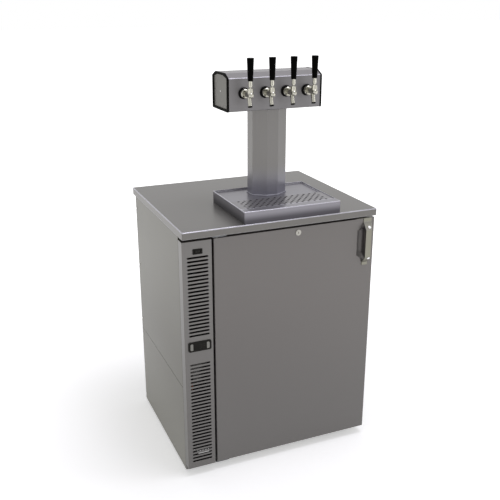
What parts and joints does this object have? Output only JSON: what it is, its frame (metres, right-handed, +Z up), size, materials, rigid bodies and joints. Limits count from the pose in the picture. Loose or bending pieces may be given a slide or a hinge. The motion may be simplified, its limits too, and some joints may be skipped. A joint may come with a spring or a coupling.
{
  "type": "draft beer cooler",
  "caption": "Stainless keg cabinet with a hinged, lockable door, side machine bay, worktop, drip tray and a tower whose tilting tap handles work sliding valves.",
  "frame": {"origin": "on the floor, under the middle of the part's bounding box", "axes": "+Z up, -Y towards the person who draws beer (door and taps), +X to that person's right, where the door's pull is"},
  "size_m": [0.7112, 0.6216, 1.429],
  "materials": {
    "body_steel": "satin",
    "top_steel": "satin",
    "tower_steel": "satin",
    "dark_metal": "satin",
    "coil_aluminium": "satin",
    "copper_pipe": "satin",
    "insulation": "matte",
    "white_liner": "satin",
    "black_rubber": "matte",
    "black_plastic": "satin",
    "grey_plastic": "satin",
    "clear_hose": "satin",
    "white_plastic": "satin",
    "chrome_fittings": "polished",
    "handle_black": "gloss"
  },
  "bodies": {
    "cabinet": {"base_pan": "dark_metal", "levelling_feet": "dark_metal", "left_upper_panel": "body_steel", "left_lower_panel": "body_steel", "rear_panel": "body_steel", "cabinet_wrapper": "body_steel", "cabinet_foam": "insulation", "cabinet_liner": "white_liner", "front_frame": "dark_metal", "grille_panel": "body_steel", "switch_bezel": "black_plastic", "controller_case": "black_plastic", "countertop": "top_steel", "upper_hinge": "dark_metal", "lower_hinge": "dark_metal", "compressor": "dark_metal", "condenser_coil": "coil_aluminium", "condenser_motor": "dark_metal", "refrigerant_lines": "copper_pipe", "electrical_box": "dark_metal", "evaporator_coil": "coil_aluminium", "evaporator_cover": "white_liner", "drip_tray": "top_steel", "drain_tube": "top_steel", "tower_column": "tower_steel", "tower_head": "tower_steel", "tower_foam": "insulation", "end_plates": "tower_steel", "end_trims": "black_rubber", "shanks": "chrome_fittings", "shank_flanges": "black_plastic", "coupling_nuts": "chrome_fittings", "faucet_bodies": "chrome_fittings", "beer_lines": "clear_hose"},
    "door": {"door_skin": "body_steel", "door_foam": "insulation", "door_liner": "white_liner", "door_gasket": "black_rubber", "pull_strip": "body_steel", "lock_sleeve": "chrome_fittings", "hinge_bushes": "white_liner"},
    "door_lock": {"lock_plug": "chrome_fittings"},
    "power_switch": {"switch_rocker": "black_plastic"},
    "left_key": {"left_key": "grey_plastic"},
    "right_key": {"right_key": "grey_plastic"},
    "condenser_fan": {"condenser_fan": "black_plastic"},
    "evaporator_fan": {"evaporator_fan": "black_plastic"},
    "drip_grid": {"drip_grid": "top_steel"},
    "tap_1": {"tap_lever_1": "chrome_fittings", "tap_handle_1": "handle_black"},
    "valve_1": {"tap_valve_1": "white_plastic"},
    "tap_2": {"tap_lever_2": "chrome_fittings", "tap_handle_2": "handle_black"},
    "valve_2": {"tap_valve_2": "white_plastic"},
    "tap_3": {"tap_lever_3": "chrome_fittings", "tap_handle_3": "handle_black"},
    "valve_3": {"tap_valve_3": "white_plastic"},
    "tap_4": {"tap_lever_4": "chrome_fittings", "tap_handle_4": "handle_black"},
    "valve_4": {"tap_valve_4": "white_plastic"}
  },
  "joints": [
    {"name": "door_hinge", "type": "hinge", "parent": "cabinet", "child": "door", "pos_m": [-0.2326, -0.2742, 0.4558], "axis": [0, 0, -1], "range_deg": [0, 110]},
    {"name": "lock_turn", "type": "hinge", "parent": "door", "child": "door_lock", "pos_m": [0.0569, -0.2666, 0.8605], "axis": [0, 1, 0], "range_deg": [0, 90]},
    {"name": "switch_tip", "type": "hinge", "parent": "cabinet", "child": "power_switch", "pos_m": [-0.3032, -0.2868, 0.844], "axis": [0, 0, -1], "range_deg": [0, 14]},
    {"name": "left_key_press", "type": "slide", "parent": "cabinet", "child": "left_key", "axis": [0, 1, 0], "range_m": [0, 0.0008], "stiffness_N_per_m": 400},
    {"name": "right_key_press", "type": "slide", "parent": "cabinet", "child": "right_key", "axis": [0, 1, 0], "range_m": [0, 0.0008], "stiffness_N_per_m": 400},
    {"name": "condenser_fan_spin", "type": "hinge", "parent": "cabinet", "child": "condenser_fan", "pos_m": [-0.2725, -0.1511, 0.1535], "axis": [0, 1, 0], "continuous": true},
    {"name": "evaporator_fan_spin", "type": "hinge", "parent": "cabinet", "child": "evaporator_fan", "pos_m": [0.0825, 0.0536, 0.7995], "axis": [0, 1, 0], "continuous": true},
    {"name": "grid_lift", "type": "slide", "parent": "cabinet", "child": "drip_grid", "axis": [0, 0, 1], "range_m": [0, 0.04]},
    {"name": "tap_1_tilt", "type": "hinge", "parent": "cabinet", "child": "tap_1", "pos_m": [-0.08075, -0.1994, 1.3304], "axis": [1, 0, 0], "range_deg": [0, 28]},
    {"name": "valve_1_slide", "type": "slide", "parent": "cabinet", "child": "valve_1", "axis": [0, 1, 0], "range_m": [0, 0.00897]},
    {"name": "tap_2_tilt", "type": "hinge", "parent": "cabinet", "child": "tap_2", "pos_m": [-0.00425, -0.1994, 1.3304], "axis": [1, 0, 0], "range_deg": [0, 28]},
    {"name": "valve_2_slide", "type": "slide", "parent": "cabinet", "child": "valve_2", "axis": [0, 1, 0], "range_m": [0, 0.00897]},
    {"name": "tap_3_tilt", "type": "hinge", "parent": "cabinet", "child": "tap_3", "pos_m": [0.07225, -0.1994, 1.3304], "axis": [1, 0, 0], "range_deg": [0, 28]},
    {"name": "valve_3_slide", "type": "slide", "parent": "cabinet", "child": "valve_3", "axis": [0, 1, 0], "range_m": [0, 0.00897]},
    {"name": "tap_4_tilt", "type": "hinge", "parent": "cabinet", "child": "tap_4", "pos_m": [0.14875, -0.1994, 1.3304], "axis": [1, 0, 0], "range_deg": [0, 28]},
    {"name": "valve_4_slide", "type": "slide", "parent": "cabinet", "child": "valve_4", "axis": [0, 1, 0], "range_m": [0, 0.00897]}
  ],
  "couplings": [
    {"joint": "valve_1_slide", "follows": "tap_1_tilt", "m_per_rad": 0.018137},
    {"joint": "valve_2_slide", "follows": "tap_2_tilt", "m_per_rad": 0.018137},
    {"joint": "valve_3_slide", "follows": "tap_3_tilt", "m_per_rad": 0.018137},
    {"joint": "valve_4_slide", "follows": "tap_4_tilt", "m_per_rad": 0.018137}
  ]
}
